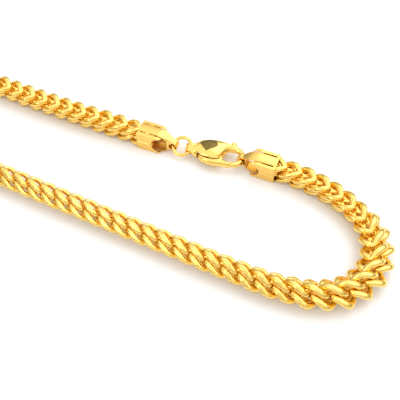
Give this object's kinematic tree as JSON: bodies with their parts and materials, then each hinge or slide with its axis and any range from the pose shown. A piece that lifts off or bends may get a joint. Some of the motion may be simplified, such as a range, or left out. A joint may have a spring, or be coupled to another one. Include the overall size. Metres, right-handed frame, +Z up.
{
  "type": "franco chain necklace with lobster clasp",
  "caption": "Closed square-section franco chain necklace with square end caps, a jump ring and a lobster clasp with a sprung lever.",
  "frame": {"origin": "on the table under the middle of the necklace's box", "axes": "+X along the loop towards its bend beside the clasp, +Y towards the strand with the clasp, +Z up"},
  "size_m": [0.2442, 0.0372, 0.0061],
  "materials": {
    "chain": "polished yellow gold tone with flat cut facets",
    "caps": "polished yellow gold tone sheet",
    "ring": "polished yellow gold tone wire",
    "clasp": "high polish yellow gold tone"
  },
  "bodies": {
    "necklace": {"chain_front": "chain", "chain_back": "chain", "end_cap_a": "caps", "end_cap_b": "caps", "jump_ring": "ring", "clasp_body": "clasp", "clasp_pin": "clasp"},
    "lever": {"clasp_lever": "clasp"}
  },
  "joints": [
    {"name": "lever_hinge", "type": "hinge", "parent": "necklace", "child": "lever", "pos_m": [0.07617, 0.0125, 0.0024], "axis": [0, 0, 1], "range_deg": [0, 20], "stiffness_Nm_per_rad": 0.004, "springref_deg": -5.73}
  ]
}
